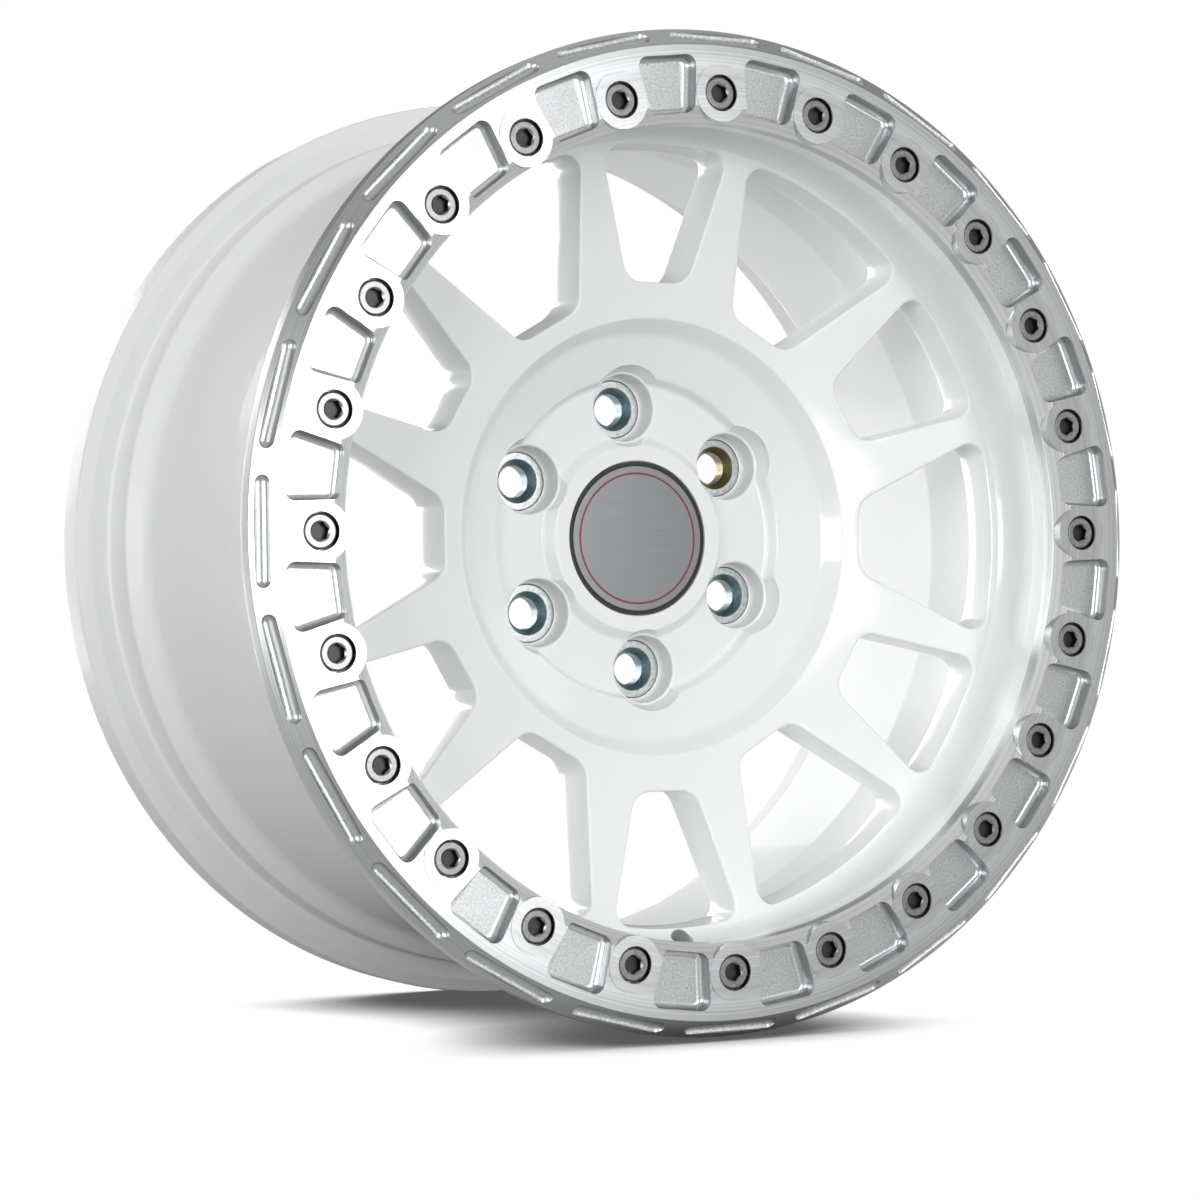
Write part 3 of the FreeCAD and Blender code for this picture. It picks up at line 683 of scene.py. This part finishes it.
def lug_cutter(sizes):
    """Pocket and hole of one lug, its mouth rounded."""
    radius = sizes.lug_pocket_r / MM
    sweep = [math.pi / 2.0 * k / 5 for k in range(6)]
    mouth = [(radius + MOUTH_ROUND * (1.0 - math.cos(t)), LUG_FACE + MOUTH_ROUND * (1.0 - math.sin(t)))
             for t in sweep]
    floor = [(radius - FLOOR_ROUND * (1.0 - math.cos(t)), LUG_FLOOR - FLOOR_ROUND * (1.0 - math.sin(t)))
             for t in sweep]
    wide = radius + MOUTH_ROUND + MOUTH_RUN
    outline = [(0.0, 5.0), (0.0, -60.0), (wide, -60.0), (wide, LUG_FACE - MOUTH_RISE)] + mouth[::-1]
    outline += floor + [(LUG_HOLE_R, LUG_FLOOR), (LUG_HOLE_R, 5.0)]
    piece = turned("lug cut", outline, SEAT_SEGMENTS)
    piece.data.transform(Matrix.Translation((LUG_CIRCLE_R * MM, 0.0, 0.0)))
    return copies(piece, LUG_COUNT, LUG_START)


def valve_drill(sizes):
    """Drill of the valve hole, slanting from the front dish to the tyre side."""
    x, z = polar(VALVE_ANGLE, VALVE_R)
    mouth = Vector((x, VALVE_STATION, z)) * MM
    course = Vector((x / VALVE_R, 1.0, z / VALVE_R)).normalized()
    deselect()
    bpy.ops.mesh.primitive_cylinder_add(vertices=48, radius=sizes.valve_r, depth=VALVE_LENGTH * MM,
                                        location=mouth + course * VALVE_SHIFT * MM,
                                        rotation=course.to_track_quat("Z", "Y").to_euler())
    bpy.ops.object.transform_apply(location=True, rotation=True, scale=True)
    return bpy.context.object


class WHEEL_OT_forging(bpy.types.Operator):
    """Model and paint the forged wheel"""
    bl_idname = "wheel.forging"
    bl_label = "Forged wheel"

    def execute(self, context):
        sizes = context.scene.wheel_sizes
        face = white_paint("white_paint", tuple(sizes.paint), 0.32, 0.6)
        satin = white_paint("satin_barrel_paint", tuple(sizes.barrel), 0.5, 0.1)
        centre = cut(hub(), lug_cutter(sizes))
        outer = cut(rim(), valve_drill(sizes))
        arms = cut(spokes(sizes), valve_drill(sizes))
        for piece in (centre, arms, outer):
            paint(piece, face, satin)
            smooth(piece)
        for polygon in outer.data.polygons:
            polygon.material_index = 1 if polygon.center.y > BARREL_FRONT * MM else 0
        wheel = join([centre, arms, outer])
        wheel.name = "forged_wheel"
        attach(wheel, "root")
        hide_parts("wheel")
        return {"FINISHED"}


def pocket_cutter(sizes):
    """One pocket between two bosses, with rounded corners and floor."""
    inner_r, inner_half = POCKET_INNER
    outer_r, outer_half = POCKET_OUTER
    outline = rounded([
        (inner_r, -inner_half, 4.0), (outer_r, -outer_half, 5.0),
        (outer_r, outer_half, 5.0), (inner_r, inner_half, 4.0)], 6)
    piece = plate("pocket cut", [outline], sizes.pocket_depth / MM, POCKET_FILLET, 4)
    piece.data.transform(Matrix.Translation((0.0, RING_FACE * MM, 0.0)))
    return copies(piece, BOLT_COUNT, POCKET_START)


def slot_cutter(sizes):
    """One ball-ended slot that runs along the chamfer."""
    ball = sizes.slot_r / MM
    tip = ball / SLOT_LINE_R
    straight = math.radians(SLOT_SWEEP / 2.0) - tip
    curve = bpy.data.curves.new("slot cut", "CURVE")
    curve.dimensions = "3D"
    curve.bevel_depth = ball * MM
    curve.bevel_resolution = 6
    curve.use_fill_caps = True
    cap = [(straight + tip * math.sin(t), math.cos(t))
           for t in (math.radians(a) for a in (0, 15, 30, 45, 60, 72, 82, 88))]
    stations = [(-a, s) for a, s in reversed(cap)] + cap
    spline = curve.splines.new("POLY")
    spline.points.add(len(stations) - 1)
    for point, (angle, scale) in zip(spline.points, stations):
        x = SLOT_LINE_R * math.cos(angle) * MM
        z = SLOT_LINE_R * math.sin(angle) * MM
        point.co = (x, SLOT_LINE * MM, z, 1.0)
        point.radius = scale
    piece = bpy.data.objects.new("slot cut", curve)
    bpy.context.collection.objects.link(piece)
    activate(piece)
    bpy.ops.object.convert(target="MESH")
    edit(piece, weld)
    return copies(piece, BOLT_COUNT, PATTERN_START)


def upright(name, radius, top, bottom):
    """Cylinder along Y on the bolt circle, copied to every bolt."""
    deselect()
    bpy.ops.mesh.primitive_cylinder_add(vertices=BOLT_SEGMENTS, radius=radius * MM, depth=(bottom - top) * MM,
                                        location=(BOLT_CIRCLE_R * MM, (top + bottom) / 2.0 * MM, 0.0),
                                        rotation=(math.pi / 2.0, 0.0, 0.0))
    piece = bpy.context.object
    piece.name = name
    bpy.ops.object.transform_apply(location=True, rotation=True, scale=True)
    return copies(piece, BOLT_COUNT, PATTERN_START)


class WHEEL_OT_ring(bpy.types.Operator):
    """Model the bead-lock ring"""
    bl_idname = "wheel.ring"
    bl_label = "Bead-lock ring"

    def execute(self, context):
        sizes = context.scene.ring_sizes
        ring = turned("clamping_ring", rounded([
            (RING_BORE_R, BEVEL_FOOT, 0.3), (BEVEL_R, RING_FACE, 0.3), (CHAMFER_R, RING_FACE, 0.4),
            (RING_R, CHAMFER_FOOT, 0.5), (RING_R, RING_BACK, 0.6), (RING_SPIGOT_R, RING_BACK, 0.3),
            (RING_SPIGOT_R, SEAT_FACE, 0.0), (RING_BORE_R, SEAT_FACE, 0.3)], 3), RING_SEGMENTS)
        cut(ring, pocket_cutter(sizes))
        cut(ring, upright("boss", sizes.boss_r / MM, RING_FACE - BOSS_STEP, SEAT_FACE - 0.5), "UNION")
        cut(ring, slot_cutter(sizes))
        cut(ring, upright("bore", sizes.counterbore_r / MM, RING_FACE - BORE_SPARE, BOLT_SEAT))
        edit(ring, weld)
        paint(ring, turned_aluminium("machined_aluminium", tuple(sizes.aluminium)),
              grained_metal("milled_aluminium", tuple(sizes.milled), 0.30, 900.0),
              turned_aluminium("bevel_painted_highlight_aluminium", tuple(sizes.bevel)))
        for polygon in ring.data.polygons:
            radius = math.hypot(polygon.center.x, polygon.center.z)
            if polygon.center.y > (RING_FACE + 3.0) * MM and polygon.normal.y < -0.95:
                polygon.material_index = 1
            # Painted highlight: the inner bevel takes the lighter copy of the aluminium.
            elif radius < BEVEL_R * MM and -0.95 < polygon.normal.y < -0.5:
                polygon.material_index = 2
        smooth(ring)
        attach(ring, "root")
        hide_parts("beadlock_ring")
        return {"FINISHED"}


class WHEEL_OT_bolts(bpy.types.Operator):
    """Model the low-head socket bolts of the ring"""
    bl_idname = "wheel.bolts"
    bl_label = "Ring bolts"

    def execute(self, context):
        sizes = context.scene.ring_sizes
        head = sizes.head_r / MM
        top = BOLT_SEAT - HEAD_HEIGHT
        end = BOLT_SEAT + BOLT_LENGTH
        outline = rounded([
            (0.0, top, 0.0), (head - HEAD_CHAMFER, top, 0.25), (head, top + HEAD_CHAMFER, 0.3),
            (head, BOLT_SEAT, 0.2), (SHANK_R, BOLT_SEAT, 0.3), (SHANK_R, end, 0.8), (0.0, end, 0.0)], 3)
        bolt = turned("bolt", outline, BOLT_SEGMENTS)
        deselect()
        corner_r = KEY_HALF / math.cos(math.pi / 6.0)
        bpy.ops.mesh.primitive_cylinder_add(vertices=6, radius=corner_r * MM, depth=2.0 * SOCKET_DEPTH * MM,
                                            location=(0.0, top * MM, 0.0), rotation=(math.pi / 2.0, 0.0, 0.0))
        socket = bpy.context.object
        bpy.ops.object.transform_apply(location=True, rotation=True, scale=True)
        cut(bolt, socket)
        mouth = ((0.0, top - 1.0), (6.2, top - 1.0), (3.7, top + 1.0), (0.0, top + 1.0))
        cut(bolt, turned("mouth", mouth, BOLT_SEGMENTS))
        edit(bolt, weld)
        # Painted shade: the socket walls and the head's side in the gap round it take the dark steel tone.
        shaded_faces = []
        for polygon in bolt.data.polygons:
            away = math.hypot(polygon.center.x, polygon.center.z) / MM
            station = polygon.center.y / MM
            shaded_socket_wall = away < SOCKET_SHADE_R and top + HEAD_CHAMFER < station < BOLT_SEAT - 0.5
            shaded_gap_wall = away > GAP_SHADE_R and station > top + 1.0
            shaded_faces.append(shaded_socket_wall or shaded_gap_wall)
        bolt.data.transform(Matrix.Rotation(math.radians(SOCKET_TURN), 4, "Y"))
        bolt.data.transform(Matrix.Translation((BOLT_CIRCLE_R * MM, 0.0, 0.0)))
        bolts = copies(bolt, BOLT_COUNT, PATTERN_START)
        bolts.name = "socket_bolts"
        paint(bolts, grained_metal("bolt_steel", tuple(sizes.steel), 0.3, 700.0),
              grained_metal("painted_shade_steel", tuple(sizes.socket), 0.4, 700.0))
        for i, polygon in enumerate(bolts.data.polygons):
            polygon.material_index = 1 if shaded_faces[i % len(shaded_faces)] else 0
        smooth(bolts)
        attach(bolts, "root")
        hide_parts("ring_bolts")
        return {"FINISHED"}


class WHEEL_OT_seats(bpy.types.Operator):
    """Model the zinc-plated lug seats"""
    bl_idname = "wheel.seats"
    bl_label = "Lug seats"

    def execute(self, context):
        sizes = context.scene.cap_sizes
        clear = grained_metal("zinc_steel", tuple(sizes.zinc), 0.3, 500.0)
        shaded_blue = grained_metal("shaded_blue_zinc_steel", tuple(sizes.blue_zinc_and_shade), 0.3, 500.0)
        shaded_yellow = grained_metal("shaded_yellow_zinc_steel", tuple(sizes.yellow_zinc_and_shade), 0.3, 500.0)
        for i in range(LUG_COUNT):
            seat = turned(f"seat_{i + 1}", rounded([
                (SEAT_R, SEAT_FRONT, 0.5), (SEAT_R, SEAT_BACK, 0.3), (SEAT_BORE_R, SEAT_BACK, 0.4),
                (SEAT_BORE_R, CONE_FOOT, 0.4), (SEAT_MOUTH_R, SEAT_FRONT, 0.4)], 3), SEAT_SEGMENTS)
            x, z = polar(LUG_START + i * 360.0 / LUG_COUNT, LUG_CIRCLE_R)
            paint(seat, clear, shaded_yellow if i == 0 else shaded_blue)
            # Painted shade with the zinc tint: the cone and bore inside CONE_EDGE_R take the darker tinted
            # zinc.
            for polygon in seat.data.polygons:
                away = math.hypot(polygon.center.x, polygon.center.z)
                polygon.material_index = 1 if away < CONE_EDGE_R * MM else 0
            smooth(seat)
            seat.data.transform(Matrix.Translation((x * MM, 0.0, z * MM)))
            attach(seat, "root")
            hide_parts(f"lug_seat_{i + 1}")
        return {"FINISHED"}


class WHEEL_OT_cap(bpy.types.Operator):
    """Model the disc of the centre cap and dress the cap"""
    bl_idname = "wheel.cap"
    bl_label = "Centre cap"

    def execute(self, context):
        sizes = context.scene.cap_sizes
        outline = rounded([
            (0.0, DISC_FACE, 0.0), (DISC_R, DISC_FACE, 0.35),
            (DISC_R, DISC_BACK, 0.0), (0.0, DISC_BACK, 0.0)], 3)
        disc = turned("cap_disc", outline, DISC_SEGMENTS)
        paint(disc, brushed_disc("brushed_aluminium", tuple(sizes.disc), tuple(sizes.line)))
        smooth(disc)
        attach(disc, "root")
        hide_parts("cap_badge")
        paint(bpy.data.objects["cap_body"], black_plastic("cap_plastic", tuple(sizes.plastic)))
        paint(bpy.data.objects["cap_spring"], grained_metal("spring_steel", tuple(sizes.spring), 0.35, 600.0))
        return {"FINISHED"}


def softbox(name, place, aim, width, height, power):
    """Rectangular area light."""
    lamp = bpy.data.lights.new(name, "AREA")
    lamp.shape = "RECTANGLE"
    lamp.size = width
    lamp.size_y = height
    lamp.energy = power
    lamp_object = bpy.data.objects.new(name, lamp)
    lamp_object.location = place
    lamp_object.rotation_euler = (Vector(aim) - Vector(place)).to_track_quat("-Z", "Y").to_euler()
    bpy.context.collection.objects.link(lamp_object)
    return lamp_object


def white_floor(name):
    """White studio floor: white to the eye, darker only where the wheel shuts out the light."""
    material, tree = new_material(name)
    place = node(tree, "ShaderNodeTexCoord").outputs["Object"]
    grain = node(tree, "ShaderNodeTexNoise", [("Vector", place)], Scale=400.0)
    tint = node(tree, "ShaderNodeValToRGB", [("Fac", grain.outputs["Fac"])])
    tint.color_ramp.elements[0].color = (0.12, 0.12, 0.12, 1.0)
    tint.color_ramp.elements[1].color = (0.14, 0.14, 0.14, 1.0)
    matt = node(tree, "ShaderNodeBsdfPrincipled", [("Base Color", tint.outputs["Color"])], Roughness=0.8)
    open_sky = node(tree, "ShaderNodeAmbientOcclusion", samples=16, Distance=0.07)
    shade = node(tree, "ShaderNodeMapRange", [("Value", open_sky.outputs["AO"])],
                 From_Min=0.28, From_Max=0.74, To_Min=0.10)
    white = node(tree, "ShaderNodeEmission", [("Color", shade.outputs["Result"])], Strength=1.0)
    path = node(tree, "ShaderNodeLightPath")
    feeds = [(0, path.outputs["Is Glossy Ray"]), (2, path.outputs["Is Camera Ray"])]
    bright = node(tree, "ShaderNodeMath", feeds, operation="MULTIPLY_ADD")
    bright.inputs[1].default_value = 0.5
    mixed = node(tree, "ShaderNodeMixShader", [("Fac", bright.outputs["Value"])])
    tree.links.new(matt.outputs["BSDF"], mixed.inputs[1])
    tree.links.new(white.outputs["Emission"], mixed.inputs[2])
    out = node(tree, "ShaderNodeOutputMaterial")
    tree.links.new(mixed.outputs["Shader"], out.inputs["Surface"])
    return material


class WHEEL_OT_stage(bpy.types.Operator):
    """Set the floor, light and camera"""
    bl_idname = "wheel.stage"
    bl_label = "Stage"

    def execute(self, context):
        sizes = context.scene.stage_sizes
        scene = context.scene
        scene.view_settings.view_transform = "Standard"
        deselect()
        bpy.ops.mesh.primitive_plane_add(size=FLOOR_SIZE, location=(0.0, 0.0, FLOOR_LEVEL))
        floor = bpy.context.object
        floor.name = "floor"
        bpy.ops.object.transform_apply(location=True, rotation=True, scale=True)
        paint(floor, white_floor("studio_floor"))
        softbox("front softbox", (0.25, -1.75, 0.1), (0.0, -0.1, 0.0), 0.7, 0.8, sizes.key)
        softbox("left softbox", (-1.6, -0.9, 0.05), (0.0, 0.0, 0.0), 1.2, 0.6, sizes.side)
        softbox("top softbox", (0.1, -0.3, 1.7), (0.0, 0.0, 0.0), 1.8, 1.4, sizes.top)
        softbox("right softbox", (1.5, -0.9, 0.2), (0.0, -0.1, 0.0), 0.7, 1.4, sizes.right)
        softbox("rear softbox", (-0.1, 1.15, 0.05), (0.0, 0.0, 0.0), 0.9, 0.9, sizes.rear)
        world = bpy.data.worlds.new("studio")
        scene.world = world
        world.use_nodes = True
        tree = world.node_tree
        tree.nodes.clear()
        path = node(tree, "ShaderNodeLightPath")
        seen = node(tree, "ShaderNodeBackground", Strength=1.0)
        seen.inputs["Color"].default_value = (1.0, 1.0, 1.0, 1.0)
        course = node(tree, "ShaderNodeTexCoord").outputs["Generated"]
        split = node(tree, "ShaderNodeSeparateXYZ", [("Vector", course)])
        front = node(tree, "ShaderNodeMapRange", [("Value", split.outputs["Y"])],
                     From_Min=-1.0, From_Max=1.0, To_Min=sizes.sky, To_Max=sizes.rear_sky)
        around = node(tree, "ShaderNodeBackground", [("Strength", front.outputs["Result"])])
        around.inputs["Color"].default_value = (1.0, 1.0, 1.0, 1.0)
        mixed = node(tree, "ShaderNodeMixShader", [("Fac", path.outputs["Is Camera Ray"])])
        tree.links.new(around.outputs["Background"], mixed.inputs[1])
        tree.links.new(seen.outputs["Background"], mixed.inputs[2])
        out = node(tree, "ShaderNodeOutputWorld")
        tree.links.new(mixed.outputs["Shader"], out.inputs["Surface"])
        level = math.cos(CAMERA_HEIGHT)
        back = Vector((math.sin(CAMERA_AZIMUTH) * level, -math.cos(CAMERA_AZIMUTH) * level,
                       math.sin(CAMERA_HEIGHT)))
        lens = bpy.data.cameras.new("camera")
        lens.lens = CAMERA_LENS
        lens.sensor_width = 36.0
        camera = bpy.data.objects.new("camera", lens)
        camera.location = CAMERA_PLACE
        camera.rotation_euler = (-back).to_track_quat("-Z", "Y").to_euler()
        context.collection.objects.link(camera)
        scene.camera = camera
        return {"FINISHED"}


class WHEEL_PT_panel(bpy.types.Panel):
    """Panel of the wheel in the sidebar"""
    bl_label = "Bead-lock wheel"
    bl_space_type = "VIEW_3D"
    bl_region_type = "UI"
    bl_category = "Wheel"

    def draw(self, context):
        for operator in OPERATORS:
            self.layout.operator(operator.bl_idname)


GROUPS = {
    "wheel_sizes": WheelSizes,
    "ring_sizes": RingSizes,
    "cap_sizes": CapSizes,
    "stage_sizes": StageSizes,
}
OPERATORS = (WHEEL_OT_forging, WHEEL_OT_ring, WHEEL_OT_bolts, WHEEL_OT_seats, WHEEL_OT_cap, WHEEL_OT_stage)


def register():
    """Register the classes and hang the settings on the scene."""
    for item in (*GROUPS.values(), *OPERATORS, WHEEL_PT_panel):
        bpy.utils.register_class(item)
    for name, group in GROUPS.items():
        setattr(bpy.types.Scene, name, bpy.props.PointerProperty(type=group))


def unregister():
    """Take the settings and classes away again."""
    for name in GROUPS:
        delattr(bpy.types.Scene, name)
    for item in (WHEEL_PT_panel, *reversed(OPERATORS), *reversed(GROUPS.values())):
        bpy.utils.unregister_class(item)


def main():
    """Load the part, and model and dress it."""
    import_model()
    register()
    for operator in OPERATORS:
        group, name = operator.bl_idname.split(".")
        getattr(getattr(bpy.ops, group), name)()


if __name__ == "__main__":
    main()
